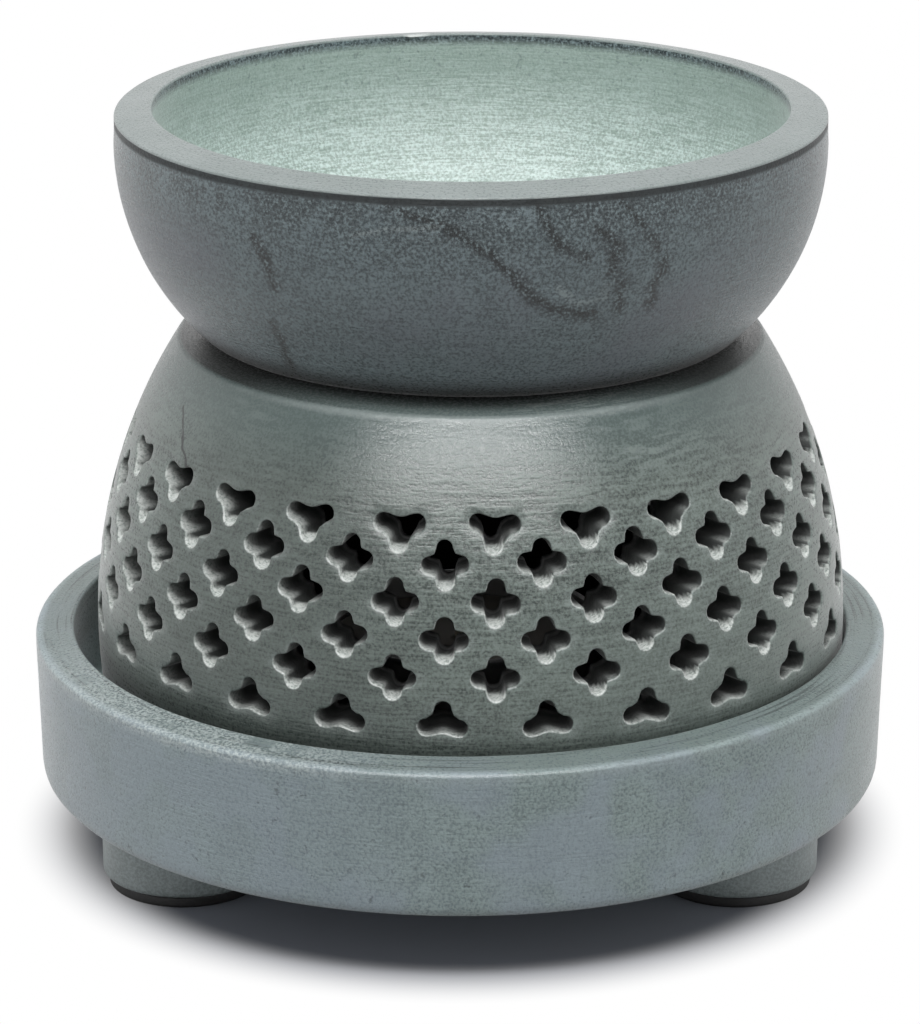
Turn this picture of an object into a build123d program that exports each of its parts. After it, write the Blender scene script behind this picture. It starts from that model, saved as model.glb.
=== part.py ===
"""Soapstone oil burner: a bowl on a pierced body, in a tray on three feet, with a tealight inside.

Lengths are millimetres. Z is up, the origin lies under the middle of the tray on the surface that
the pads stand on, and the front of the burner faces -Y.
"""
import os
from math import cos, radians, sin, sqrt

from build123d import *

# Feet and their pads
foot_names = ("front_left", "front_right", "rear")
foot_bearings = (-60.0, 60.0, 180.0)  # degrees from the front, towards +X
foot_inset = 16.0  # distance of each foot's middle from the tray's outer edge
foot_radius = 11.6
foot_height = 8.5
foot_edge = 0.9
pad_radius = 10.7
pad_thickness = 1.6

# Tray
tray_radius = 60.0
tray_taper = 0.5  # how much smaller the tray is at the bottom
tray_height = 21.3
tray_wall = 5.4
tray_floor = 7.0
tray_rim_fall = 0.5  # the rim is this much lower at its outer edge
tray_rim_edge = 1.3
tray_bottom_edge = 2.0

# Pierced body
body_side_room = 1.9  # room between the body and the tray when both share one axis
body_side_gap = 0.4  # room left where the body stands nearest to the tray's wall
body_height = 57.4
body_belly_height = 15.0  # height of the widest level above the tray's floor
body_base_tuck = 1.5  # how far the body draws in below its widest level
body_top_radius = 39.7
body_top_edge = 1.2
body_wall = 6.2
body_roof = 7.0

# Lattice of holes in the body's wall
holes_per_row = 24
quatrefoil_rows = 4
lattice_start = 3.8  # lowest row above the widest level, along the wall
row_pitch = 5.02
top_row_pitch = 4.35
even_row_turn = -4.0  # degrees from the front, towards +X
odd_row_turn = 3.5
hole_width = 6.5
hole_height = 6.0
lobe_end = 1.8  # width of a lobe at its end
notch_reach = 1.45  # how far the notches between lobes stand from the middle, each way
trefoil_width = 6.8
trefoil_height = 5.2
cut_allowance = 3.0  # extra length of each cut past both faces of the wall

# Oil bowl
bowl_height = 31.0
bowl_radius = 48.85
bowl_belly_drop = 4.9  # depth of the widest level below the rim
bowl_rim_fall = 0.8  # the rim is this much lower at its outer edge
bowl_rim_draw = 0.15  # how far the outside draws in above the widest level
bowl_wall = 5.25
bowl_floor = 8.0
bowl_side_radius = 35.0
bowl_base_edge = 3.5
bowl_inside_corner = 9.0
spigot_radius = 27.0
spigot_depth = 2.5
mouth_clearance = 0.4

# Tealight
cup_radius = 19.0
cup_height = 16.0
cup_wall = 0.4
cup_lip = 0.5
recess_depth = 2.0
recess_clearance = 0.5
wax_depth = 12.2
wax_clearance = 0.1
wick_radius = 0.8
wick_stand = 6.5  # wick above the wax
sustainer_radius = 6.0
sustainer_thickness = 0.4
neck_wall = 0.5
neck_height = 3.0

# Levels
foot_level = pad_thickness
tray_level = foot_level + foot_height
body_level = tray_level + tray_floor
bowl_level = body_level + body_height
recess_level = body_level - recess_depth
wax_level = recess_level + cup_wall
wick_level = wax_level + sustainer_thickness

# Where the feet stand under the tray
foot_circle = tray_radius - foot_inset

# Where the body stands in the tray, and the bowl with it
tray_inner_radius = tray_radius - tray_wall
belly_radius = tray_inner_radius - body_side_room
body_shift = body_side_room - body_side_gap
body_origin = (body_shift, 0, body_level)
bowl_origin = (body_shift, 0, bowl_level)


def upright(origin):
    """A vertical drawing plane through an origin, with X outwards and Z up."""
    return Plane(origin=origin, x_dir=(1, 0, 0), z_dir=(0, -1, 0))


def axis_through(origin):
    """The vertical turning axis through an origin."""
    return Axis(origin, (0, 0, 1))


def on_bearing(distance, bearing, height):
    """A point at a distance from the Z axis, on a bearing from the front."""
    return (distance * sin(radians(bearing)), -distance * cos(radians(bearing)), height)


# Feet: stone discs with an eased lower edge, and the black pads under them
feet = []
pads = []
for foot_name, bearing in zip(foot_names, foot_bearings):
    with BuildPart() as foot:
        with BuildSketch(Plane(on_bearing(foot_circle, bearing, foot_level))):
            Circle(foot_radius)
        extrude(amount=foot_height)
        chamfer(foot.edges().group_by(Axis.Z)[0], foot_edge)
    foot.part.label = f"foot_{foot_name}"
    feet.append(foot.part)

    with BuildPart() as pad:
        with BuildSketch(Plane(on_bearing(foot_circle, bearing, 0))):
            Circle(pad_radius)
        extrude(amount=pad_thickness)
    pad.part.label = f"foot_pad_{foot_name}"
    pads.append(pad.part)

# Tray: a shallow turned dish with a recess for the tealight
with BuildPart() as base_tray:
    with BuildSketch(upright((0, 0, tray_level))):
        with BuildLine():
            Polyline(
                (0, 0),
                (tray_radius - tray_taper - tray_bottom_edge, 0),
                (tray_radius - tray_taper, tray_bottom_edge),
                (tray_radius, tray_height - tray_rim_fall - tray_rim_edge),
                (tray_radius - tray_rim_edge, tray_height - tray_rim_fall),
                (tray_inner_radius, tray_height),
                (tray_inner_radius, tray_floor),
                (cup_radius + recess_clearance, tray_floor),
                (cup_radius + recess_clearance, tray_floor - recess_depth),
                (0, tray_floor - recess_depth),
                close=True,
            )
        make_face()
    revolve(axis=Axis.Z)
base_tray.part.label = "base_tray"

# Body: the outside is an arc that stands upright at the widest level
wall_rise = body_height - body_belly_height
wall_draw = belly_radius - body_top_radius
wall_radius = (wall_rise**2 + wall_draw**2) / (2 * wall_draw)
wall_centre = belly_radius - wall_radius
roof_height = body_height - body_roof
roof_radius = wall_centre + sqrt((wall_radius - body_wall) ** 2 - (roof_height - body_belly_height) ** 2)
mouth_radius = spigot_radius + mouth_clearance
base_radius = belly_radius - body_base_tuck


def hole_planes(arc_length, turn):
    """Upright planes that face outwards, one for each hole of a row at a height along the wall."""
    slope = arc_length / wall_radius
    distance = wall_centre + wall_radius * cos(slope) + cut_allowance
    height = body_level + body_belly_height + wall_radius * sin(slope)
    planes = []
    for hole in range(holes_per_row):
        bearing = turn + hole * 360.0 / holes_per_row
        origin = Vector(on_bearing(distance, bearing, height)) + Vector(body_shift, 0, 0)
        across = on_bearing(1, bearing + 90, 0)
        planes.append(Plane(origin=origin, x_dir=across, z_dir=on_bearing(1, bearing, 0)))
    return planes


def quatrefoil():
    """Four lobes that narrow to square ends, with a notch between each two."""
    half = lobe_end / 2
    outline = []
    for quarter in range(4):
        reach = hole_width / 2 if quarter % 2 == 0 else hole_height / 2
        corners = [Vector(reach, -half), Vector(reach, half), Vector(notch_reach, notch_reach)]
        outline += [corner.rotate(Axis.Z, quarter * 90) for corner in corners]
    return outline


def trefoil(up):
    """Two lobes side by side, and one that points up (1) or down (-1)."""
    half = lobe_end / 2
    side = trefoil_width / 2
    point = trefoil_height / 2
    right = [(side, -point), (side, lobe_end - point), (half, point)]
    left = [(-across, height) for across, height in reversed(right)]
    return [(across, up * height) for across, height in [*right, *left]]


# Rows of the lattice from the lowest up: height along the wall, turn and outline
lattice = []
for row in range(quatrefoil_rows + 1):
    outline = trefoil(1) if row == 0 else quatrefoil()
    row_turn = odd_row_turn if row % 2 else even_row_turn
    lattice.append((lattice_start + row * row_pitch, row_turn, outline))
top_turn = even_row_turn if quatrefoil_rows % 2 else odd_row_turn
lattice.append((lattice_start + quatrefoil_rows * row_pitch + top_row_pitch, top_turn, trefoil(-1)))

with BuildPart() as pierced_body:
    with BuildSketch(upright(body_origin)):
        with BuildLine():
            outer_belly = (belly_radius, body_belly_height)
            inner_belly = (belly_radius - body_wall, body_belly_height)
            outside = TangentArc(outer_belly, (body_top_radius, body_height), tangent=(0, 1))
            skirt = TangentArc(outer_belly, (base_radius, 0), tangent=(0, -1))
            inside = TangentArc(inner_belly, (roof_radius, roof_height), tangent=(0, 1))
            inner_skirt = TangentArc(inner_belly, (base_radius - body_wall, 0), tangent=(0, -1))
            Polyline(outside @ 1, (mouth_radius, body_height), (mouth_radius, roof_height), inside @ 1)
            Line(skirt @ 1, inner_skirt @ 1)
        make_face()
    revolve(axis=axis_through(body_origin))
    top_edges = pierced_body.edges().group_by(Axis.Z)[-1]
    chamfer(top_edges.sort_by(SortBy.RADIUS)[-1], body_top_edge)
    for arc_length, row_turn, outline in lattice:
        with BuildSketch(*hole_planes(arc_length, row_turn)):
            Polygon(*outline, align=None)
    extrude(amount=-(body_wall + 2 * cut_allowance), mode=Mode.SUBTRACT)
pierced_body.part.label = "pierced_body"

# Bowl: the outside is an arc that stands upright at the widest level, and the inside keeps to it
bowl_belly_height = bowl_height - bowl_belly_drop
side_centre = bowl_radius - bowl_side_radius
base_reach = side_centre + sqrt(bowl_side_radius**2 - bowl_belly_height**2)
floor_reach = side_centre + sqrt((bowl_side_radius - bowl_wall) ** 2 - (bowl_belly_height - bowl_floor) ** 2)

with BuildPart() as oil_bowl:
    with BuildSketch(upright(bowl_origin)) as bowl_section:
        with BuildLine():
            outer_belly = (bowl_radius, bowl_belly_height)
            inner_belly = (bowl_radius - bowl_wall, bowl_belly_height)
            outside = TangentArc(outer_belly, (base_reach, 0), tangent=(0, -1))
            inside = TangentArc(inner_belly, (floor_reach, bowl_floor), tangent=(0, -1))
            rim_edge = (bowl_radius - bowl_rim_draw, bowl_height - bowl_rim_fall)
            Polyline(outer_belly, rim_edge, (bowl_radius - bowl_wall, bowl_height), inner_belly)
            Polyline(inside @ 1, (0, bowl_floor), (0, -spigot_depth), (spigot_radius, -spigot_depth))
            Polyline((spigot_radius, -spigot_depth), (spigot_radius, 0), outside @ 1)
        make_face()
        fillet(bowl_section.vertices().sort_by_distance((base_reach, 0))[0], bowl_base_edge)
        fillet(bowl_section.vertices().sort_by_distance((floor_reach, bowl_floor))[0], bowl_inside_corner)
    revolve(axis=axis_through(bowl_origin))
oil_bowl.part.label = "oil_bowl"

# Tealight: a thin metal cup with a turned-out lip, wax, and a wick held upright by its sustainer
with BuildPart() as tealight_cup:
    with BuildSketch(upright((0, 0, recess_level))):
        with BuildLine():
            Polyline(
                (0, 0),
                (cup_radius, 0),
                (cup_radius, cup_height - cup_wall),
                (cup_radius + cup_lip, cup_height - cup_wall),
                (cup_radius + cup_lip, cup_height),
                (cup_radius - cup_wall, cup_height),
                (cup_radius - cup_wall, cup_wall),
                (0, cup_wall),
                close=True,
            )
        make_face()
    revolve(axis=Axis.Z)
tealight_cup.part.label = "tealight_cup"

wick_hole = wick_radius + wax_clearance
neck_radius = wick_hole + neck_wall
neck_top = sustainer_thickness + neck_height

with BuildPart() as tealight_wax:
    with BuildSketch(upright((0, 0, wax_level))):
        with BuildLine():
            Polyline(
                (sustainer_radius + wax_clearance, 0),
                (cup_radius - cup_wall - wax_clearance, 0),
                (cup_radius - cup_wall - wax_clearance, wax_depth),
                (wick_hole, wax_depth),
                (wick_hole, neck_top + wax_clearance),
                (neck_radius + wax_clearance, neck_top + wax_clearance),
                (neck_radius + wax_clearance, sustainer_thickness + wax_clearance),
                (sustainer_radius + wax_clearance, sustainer_thickness + wax_clearance),
                close=True,
            )
        make_face()
    revolve(axis=Axis.Z)
tealight_wax.part.label = "tealight_wax"

with BuildPart() as wick_sustainer:
    with BuildSketch(Plane.XY.offset(wax_level)):
        Circle(sustainer_radius)
    extrude(amount=sustainer_thickness)
    with BuildSketch(Plane.XY.offset(wick_level)):
        Circle(neck_radius)
        Circle(wick_hole, mode=Mode.SUBTRACT)
    extrude(amount=neck_height)
wick_sustainer.part.label = "wick_sustainer"

with BuildPart() as tealight_wick:
    with BuildSketch(Plane.XY.offset(wick_level)):
        Circle(wick_radius)
    extrude(amount=wax_depth - sustainer_thickness + wick_stand)
tealight_wick.part.label = "tealight_wick"

# One file for each piece
stone_pieces = [oil_bowl.part, pierced_body.part, base_tray.part, *feet]
tealight_pieces = [tealight_cup.part, tealight_wax.part, wick_sustainer.part, tealight_wick.part]
os.makedirs("parts", exist_ok=True)
for piece in [*stone_pieces, *pads, *tealight_pieces]:
    export_step(piece, f"parts/{piece.label}.step")
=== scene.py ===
"""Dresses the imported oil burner: turned and pierced soapstone, rubber pads, a tealight and a white studio.

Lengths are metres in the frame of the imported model. Z is up and the front of the burner faces -Y.
A bearing is an angle about a piece's turning axis, from the front towards +X.
"""
import math
import random

import bmesh
import bpy
from bpy.props import FloatProperty, FloatVectorProperty, IntProperty, PointerProperty
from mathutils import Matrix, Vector, noise


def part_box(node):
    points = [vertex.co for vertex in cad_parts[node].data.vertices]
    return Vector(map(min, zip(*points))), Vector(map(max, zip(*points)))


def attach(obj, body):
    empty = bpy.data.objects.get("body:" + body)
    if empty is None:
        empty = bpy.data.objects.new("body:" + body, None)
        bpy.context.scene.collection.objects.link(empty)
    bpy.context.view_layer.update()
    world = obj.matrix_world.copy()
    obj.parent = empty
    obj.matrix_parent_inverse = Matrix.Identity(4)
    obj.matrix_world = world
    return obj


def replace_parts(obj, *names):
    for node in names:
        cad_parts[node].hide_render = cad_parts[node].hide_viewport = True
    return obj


bl_info = {
    "name": "Soapstone oil burner",
    "version": (1, 0, 0),
    "blender": (4, 5, 0),
    "location": "View3D > Sidebar > Burner",
    "description": "Turned soapstone, a cut lattice, a tealight and a studio around the packed oil burner",
    "category": "Object",
}

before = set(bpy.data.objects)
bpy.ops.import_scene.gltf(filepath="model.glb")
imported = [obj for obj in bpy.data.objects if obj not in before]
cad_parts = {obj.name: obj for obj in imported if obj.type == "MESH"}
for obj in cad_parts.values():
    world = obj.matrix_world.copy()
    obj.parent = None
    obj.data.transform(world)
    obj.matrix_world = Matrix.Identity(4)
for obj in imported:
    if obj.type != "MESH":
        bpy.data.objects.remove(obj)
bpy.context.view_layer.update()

FEET = ("front_left", "front_right", "rear")
ROUND = 192  # points round a large turned piece
SMALL_ROUND = 96  # points round a small one
HOLE_POINTS = 48  # points round one hole, 12 to a quarter
LOW_LOBE = range(32, 41)  # points of a hole's lowest lobe
FLAT_EDGE = (28, 44)  # first and last point of a three-lobed hole's flat edge
STEPS_PER_HOLE = 12  # points of the wall's rings over one hole
ROW_TURNS = (math.radians(-4.0), math.radians(3.5))  # bearings where the rows start, by turns
HAND_SEED = 7  # seed of the small differences between the holes
BROAD_WAVES = 60.0  # waves to a metre in the hand-worked stone
FINE_WAVES = 240.0  # smaller waves on those
VEIN_WANDER = (0.006, 0.004)  # how far a vein strays from its course, sideways and up or down
BUMP_REACH = 0.0004  # height of the grain in a bump
WHITE = (1.0, 1.0, 1.0, 1.0)
METAL = {"Metallic": 1.0}
STONE_SHEEN = {"Sheen Weight": 0.4, "Sheen Roughness": 0.35}  # dry stone, pale at a glancing angle
# Veins on the bowl's outside, as bearings in degrees and depths below the rim
DARK_VEINS = (
    ((-13.5, 0.0023), (-4.5, 0.0045), (2.8, 0.0082), (7.8, 0.0127), (13.0, 0.0165), (18.5, 0.0180)),
    ((9.3, 0.0016), (11.0, 0.0053), (13.0, 0.0080), (18.0, 0.0099)),
    ((19.8, 0.0058), (22.0, 0.0086), (21.8, 0.0131), (23.8, 0.0173)),
    ((23.8, 0.0019), (26.5, 0.0059), (29.5, 0.0089), (31.5, 0.0124), (29.5, 0.0168)),
    ((-35.0, 0.0088), (-33.5, 0.0120), (-32.5, 0.0155)),
    ((-35.3, 0.0218), (-35.5, 0.0251), (-37.3, 0.0288)),
)
PALE_VEINS = (
    ((-17.8, 0.0067), (-13.5, 0.0059), (-5.0, 0.0051)),
    ((14.0, 0.0136), (16.8, 0.0161), (20.8, 0.0159), (21.3, 0.0141)),
)
# A crack at the left of the body's band, as bearings in degrees and depths below the top
CRACK = ((-62.5, 0.0058), (-59.3, 0.0094), (-55.8, 0.0129))


def colour(name, description, default):
    return FloatVectorProperty(
        name=name, description=description, default=default, subtype="COLOR", size=3, min=0.0, max=1.0
    )


def length(name, description, default):
    return FloatProperty(
        name=name, description=description, default=default, min=0.0,
        unit="LENGTH", subtype="DISTANCE", precision=5,
    )


def location(name, description, default):
    return FloatVectorProperty(
        name=name, description=description, default=default, unit="LENGTH", subtype="XYZ"
    )


def power(name, description, default):
    return FloatProperty(name=name, description=description, default=default, min=0.0, unit="POWER")


def share(name, description, default):
    return FloatProperty(name=name, description=description, default=default, min=0.0, subtype="FACTOR")


class BurnerSizes(bpy.types.PropertyGroup):
    """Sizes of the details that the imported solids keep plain."""

    holes: IntProperty(name="Holes", description="Holes round the body in each row", default=24, min=3)
    hole_width: length("Hole width", "Width of a four-lobed hole", 0.0064)
    hole_height: length("Hole height", "Height of a four-lobed hole", 0.0060)
    lobe_width: length("Lobe width", "Width of each round lobe", 0.0023)
    notch: length("Notch", "How far the notches between lobes stand from the middle, each way", 0.00135)
    trefoil_width: length("Trefoil width", "Width of a three-lobed hole", 0.0068)
    trefoil_height: length("Trefoil height", "Height of a three-lobed hole", 0.0047)
    lip: length("Lip", "Rounding of a hole's outer edge", 0.00025)
    waver: length("Waver", "How far the hand-worked stone strays from a true turning", 0.00005)
    edge: length("Edge", "Rounding of the stone's worn edges", 0.0006)


class BurnerColours(bpy.types.PropertyGroup):
    """Colours of the stone and of the small parts."""

    bowl_dark: colour("Bowl, dark", "Dark slate of the bowl's outside", (0.060, 0.081, 0.090))
    bowl_pale: colour("Bowl, pale", "Pale grain of the bowl's outside", (0.230, 0.294, 0.314))
    bowl_violet: colour("Bowl, violet", "Violet clouds on the bowl's outside", (0.136, 0.142, 0.174))
    rim_dark: colour("Bowl rim, dark", "Dark grain of the bowl's rim", (0.215, 0.258, 0.250))
    rim_pale: colour("Bowl rim, pale", "Pale grain of the bowl's rim", (0.355, 0.398, 0.396))
    # Also laid as painted shade high on the bowl's inside wall.
    sage_dark: colour("Sage, dark", "Dark grain inside the bowl", (0.300, 0.385, 0.345))
    sage_pale: colour("Sage, pale", "Pale stone inside the bowl", (0.775, 0.89, 0.865))
    chalk: colour("Chalk", "White specks inside the bowl and chipped stone", (0.86, 0.92, 0.90))
    body_dark: colour("Body, dark", "Dark grain of the pierced body", (0.072, 0.090, 0.082))
    body_pale: colour("Body, pale", "Pale grain of the pierced body", (0.238, 0.292, 0.266))
    body_band: colour("Body, band", "Smooth stone above the holes", (0.142, 0.196, 0.190))
    # Near black, painted as shade: in the sides of the holes, low on the body by the tray, and on the ledge
    # at the sides.
    cut: colour("Cut stone", "Stone in the sides of the cut holes", (0.028, 0.033, 0.031))
    # Painted light, partly pale dust, on the floors and lit sides of the holes.
    dust: colour("Dust", "Pale powder on the floors of the cut holes", (0.82, 0.86, 0.83))
    # Near black: painted on the chamber's inside, and as painted shadow under the bowl's foot and round its
    # seat.
    near_black: colour("Soot", "Smoked stone inside the chamber", (0.006, 0.006, 0.006))
    tray_dark: colour("Tray, dark", "Dark grain of the tray", (0.158, 0.209, 0.211))
    # Also laid over the tray's inside wall as painted light.
    tray_pale: colour("Tray, pale", "Pale grain of the tray", (0.380, 0.476, 0.472))
    tray_blue: colour("Tray, blue", "Blue clouds of the tray", (0.360, 0.430, 0.500))
    tray_rim: colour("Tray rim", "Green-grey stone of the tray's rim", (0.170, 0.215, 0.205))
    foot_dark: colour("Foot, dark", "Dark grain of the feet", (0.240, 0.281, 0.284))
    foot_pale: colour("Foot, pale", "Pale grain of the feet", (0.440, 0.502, 0.508))
    # Also the colour of a painted highlight along the front of the body's top edge.
    worn: colour("Worn edge", "Whitish wear along the stone's edges", (0.62, 0.69, 0.68))
    vein: colour("Vein", "Dark veins and pits", (0.011, 0.015, 0.016))
    pad: colour("Pad", "Black rubber", (0.012, 0.012, 0.013))
    pad_dust: colour("Pad, dust", "Grey dust on the rubber", (0.06, 0.06, 0.062))
    cup: colour("Cup", "Dulled aluminium", (0.55, 0.55, 0.56))
    # Darker than fresh wax: painted shade for the wax inside the chamber, seen through the holes.
    wax: colour("Wax", "Candle wax, used", (0.42, 0.40, 0.36))
    wick: colour("Wick", "Waxed cotton", (0.72, 0.66, 0.54))
    steel: colour("Sustainer", "Tinned steel", (0.56, 0.56, 0.57))
    # Dark bluish grey seen by the camera near the burner: a painted shadow under the tray.
    floor: colour("Floor", "Studio floor", (0.345, 0.360, 0.410))


class Socket:
    """A shader output that adds Math nodes when it is used in an expression."""

    def __init__(self, finish, output):
        self.finish = finish
        self.output = output

    def __add__(self, other):
        return self.finish.math("ADD", self, other)

    __radd__ = __add__

    def __sub__(self, other):
        return self.finish.math("SUBTRACT", self, other)

    def __rsub__(self, other):
        return self.finish.math("SUBTRACT", other, self)

    def __mul__(self, other):
        return self.finish.math("MULTIPLY", self, other)

    __rmul__ = __mul__

    def __truediv__(self, other):
        return self.finish.math("DIVIDE", self, other)

    def __rtruediv__(self, other):
        return self.finish.math("DIVIDE", other, self)

    def __pow__(self, other):
        return self.finish.math("POWER", self, other)

    def __rpow__(self, other):
        return self.finish.math("POWER", other, self)

    def __abs__(self):
        return self.finish.math("ABSOLUTE", self)


class Finish:
    """The node tree of one finish."""

    def __init__(self, owner):
        owner.use_nodes = True
        self.owner = owner
        self.tree = owner.node_tree
        self.tree.nodes.clear()

    def node(self, kind, settings=None, sockets=None, output=0):
        """Adds a node: its settings first, then the values or links of its sockets."""
        node = self.tree.nodes.new(kind)
        for name, value in (settings or {}).items():
            setattr(node, name, value)
        for name, value in (sockets or {}).items():
            if isinstance(value, Socket):
                self.tree.links.new(value.output, node.inputs[name])
            else:
                node.inputs[name].default_value = value
        return Socket(self, node.outputs[output]) if len(node.outputs) else None

    def math(self, operation, *values):
        return self.node("ShaderNodeMath", {"operation": operation}, dict(enumerate(values)))

    def least(self, first, second):
        return self.math("MINIMUM", first, second)

    def mix(self, factor, first, second):
        """A colour between two, by a factor from 0 to 1."""
        sockets = {0: factor, 6: opaque(first), 7: opaque(second)}
        return self.node("ShaderNodeMix", {"data_type": "RGBA"}, sockets, 2)

    def ramp(self, value, low, high):
        """A smooth step from 0 at low to 1 at high."""
        sockets = {"Value": value, "From Min": low, "From Max": high}
        return self.node("ShaderNodeMapRange", {"interpolation_type": "SMOOTHSTEP"}, sockets)

    def noise(self, place, scale, detail=2.0, roughness=0.5):
        sockets = {"Vector": place, "Scale": scale, "Detail": detail, "Roughness": roughness}
        return self.node("ShaderNodeTexNoise", None, sockets)

    def mark(self, name):
        """A float that the mesh carries for one of its parts."""
        return self.node("ShaderNodeAttribute", {"attribute_name": name}, None, "Fac")

    def place(self):
        return self.node("ShaderNodeTexCoord", None, None, "Object")

    def axes(self, place):
        return [self.node("ShaderNodeSeparateXYZ", None, {0: place}, axis) for axis in "XYZ"]

    def vector(self, x, y, z):
        return self.node("ShaderNodeCombineXYZ", None, {0: x, 1: y, 2: z})

    def surface(self, shown, gloss, height, strength, constants=None):
        """The shader of the finish, with a bump from a height socket and the constants it needs."""
        bump = {"Height": height, "Strength": strength, "Distance": BUMP_REACH}
        normal = self.node("ShaderNodeBump", None, bump)
        sockets = {"Base Color": shown, "Roughness": gloss, "Normal": normal, **(constants or {})}
        shader = self.node("ShaderNodeBsdfPrincipled", None, sockets)
        self.node("ShaderNodeOutputMaterial", None, {"Surface": shader})
        return self.owner


def opaque(value):
    return value if isinstance(value, Socket) else (*value, 1.0)


def scaled(tone, factor):
    """A colour made lighter or darker."""
    return [min(1.0, part * factor) for part in tone]


def new_finish(name):
    return Finish(bpy.data.materials.new(name))


class Stone(Finish):
    """Soapstone turned about one axis: its grain as sockets, and the colour that it shows so far."""

    def __init__(self, name, axis):
        super().__init__(bpy.data.materials.new(name))
        self.here = self.place()
        x, y, self.z = self.axes(self.here)
        x = x - axis[0]
        y = y - axis[1]
        self.radius = (x * x + y * y) ** 0.5
        self.bearing = self.math("ARCTAN2", x, 0.0 - y)
        self.around = [side / self.radius for side in (x, y)]
        self.cloud = self.noise(self.here, 38.0, 3.0)
        self.patch = self.noise(self.here, 150.0, 3.0, 0.6)
        self.grain = self.noise(self.here, 2500.0, 3.0, 0.65)
        self.grit = self.ramp(self.grain, 0.36, 0.64)
        speck = self.noise(self.here, 1150.0, 3.0, 0.65)
        self.salt = self.ramp(speck, 0.58, 0.68)
        self.pepper = 1.0 - self.ramp(speck, 0.32, 0.42)
        self.streak = self.noise(self.drawn(2.0, 520.0), 1.0, 3.0, 0.6)
        self.hatch = self.ramp(self.noise(self.drawn(10.0, 3000.0), 1.0, 2.0, 0.6), 0.25, 0.75)
        self.shown = None

    def drawn(self, around, along):
        """A place drawn out round the axis, for marks that run with the turning."""
        rise = self.z + self.radius
        return self.vector(self.around[0] * around, self.around[1] * around, rise * along)

    def tone(self, dark, pale, cloud, patch, grit, streak, hatch):
        """A colour between two tones, by how much each kind of figure counts."""
        shade = 0.5 + (self.cloud - 0.5) * cloud + (self.patch - 0.5) * patch
        shade = shade + (self.grit - 0.5) * grit
        shade = shade + (self.streak - 0.5) * streak + (self.hatch - 0.5) * hatch
        return self.mix(self.ramp(shade, -0.1, 1.1), dark, pale)

    def lay(self, factor, tone):
        """Lays a colour over what shows so far."""
        self.shown = self.mix(factor, self.shown, tone)

    def near(self, bearing, full, none):
        """1 at bearings within full of one, and 0 beyond none, in radians."""
        return 1.0 - self.ramp(abs(self.bearing - bearing), full, none)

    def vein(self, course, width, reach):
        """How strongly a vein shows along a course of (bearing in degrees, level) points."""
        across = self.bearing * reach + (self.patch - 0.5) * VEIN_WANDER[0]
        level = self.z + (self.cloud - 0.5) * VEIN_WANDER[1]
        distance = None
        for start, end in zip(course, course[1:]):
            a = (math.radians(start[0]) * reach, start[1])
            b = (math.radians(end[0]) * reach, end[1])
            run = (b[0] - a[0], b[1] - a[1])
            u = across - a[0]
            v = level - a[1]
            along = (u * run[0] + v * run[1]) / (run[0] ** 2 + run[1] ** 2)
            along = self.least(self.math("MAXIMUM", along, 0.0), 1.0)
            u = u - along * run[0]
            v = v - along * run[1]
            gap = (u * u + v * v) ** 0.5
            distance = gap if distance is None else self.least(distance, gap)
        dashes = self.ramp(self.noise(self.here, 210.0, 3.0, 0.7), 0.25, 0.48)
        return (1.0 - self.ramp(distance, 0.0, width)) * dashes

    def polished(self, gloss, height, strength):
        return self.surface(self.shown, gloss, height, strength, STONE_SHEEN)


class Shell:
    """Points and faces of one piece, with the part that each point belongs to and a pale mark on it: chipped
    stone on the bowl, and painted light with some pale dust in the body's holes.
    """

    def __init__(self, axis):
        self.axis = axis
        self.points = []
        self.parts = []
        self.dust = []
        self.faces = []

    def point(self, radius, bearing, level, part):
        self.points.append(
            (self.axis[0] + radius * math.sin(bearing), self.axis[1] - radius * math.cos(bearing), level)
        )
        self.parts.append(part)
        self.dust.append(0.0)
        return len(self.points) - 1

    def ring(self, radius, level, part, count, start):
        """A ring of points, or the one point on the axis."""
        if radius < 1e-6:
            return [self.point(0.0, 0.0, level, part)]
        return [self.point(radius, start + math.tau * i / count, level, part) for i in range(count)]

    def bridge(self, first, second):
        """Faces between two rings of points, one of which may be a single point."""
        for i in range(max(len(first), len(second))):
            ends = ((first, i), (first, i + 1), (second, i + 1), (second, i))
            corners = [line[j % len(line)] for line, j in ends]
            self.faces.append(list(dict.fromkeys(corners)))

    def bridge_all(self, rings):
        for first, second in zip(rings, rings[1:]):
            self.bridge(first, second)

    def turn(self, corners, step, count, start=0.0, bends=5):
        """Turns a section about the axis, with its corners eased and no points further apart than a step."""
        section = filled(eased(corners, bends), step)
        self.bridge_all([self.ring(*point, count, start) for point in section])

    def piece(self, name, body, slot, material, waver=0.0, still=(), seed=0.0):
        """Makes the object, with a float mark for each part, and puts it on its body."""
        mesh = bpy.data.meshes.new(name)
        mesh.from_pydata(self.points, [], self.faces)
        marks = {part: [float(here == part) for here in self.parts] for part in sorted(set(self.parts))}
        marks["dust"] = self.dust
        for name_of_mark, values in marks.items():
            mesh.attributes.new(name_of_mark, "FLOAT", "POINT").data.foreach_set("value", values)
        work = bmesh.new()
        work.from_mesh(mesh)
        bmesh.ops.remove_doubles(work, verts=work.verts, dist=1e-6)
        bmesh.ops.recalc_face_normals(work, faces=work.faces)
        layers = [work.verts.layers.float[part] for part in still]
        work.normal_update()
        for vert in work.verts:
            if waver and not any(vert[layer] for layer in layers):
                stray = noise.noise(vert.co * BROAD_WAVES + Vector((seed, 0, 0)))
                stray += 0.4 * noise.noise(vert.co * FINE_WAVES)
                vert.co += vert.normal * stray * waver
        for face in work.faces:
            face.smooth = True
        work.to_mesh(mesh)
        work.free()
        piece = bpy.data.objects.new(name, mesh)
        bpy.context.collection.objects.link(piece)
        mesh.materials.append(material)
        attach(piece, body)
        return piece


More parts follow.
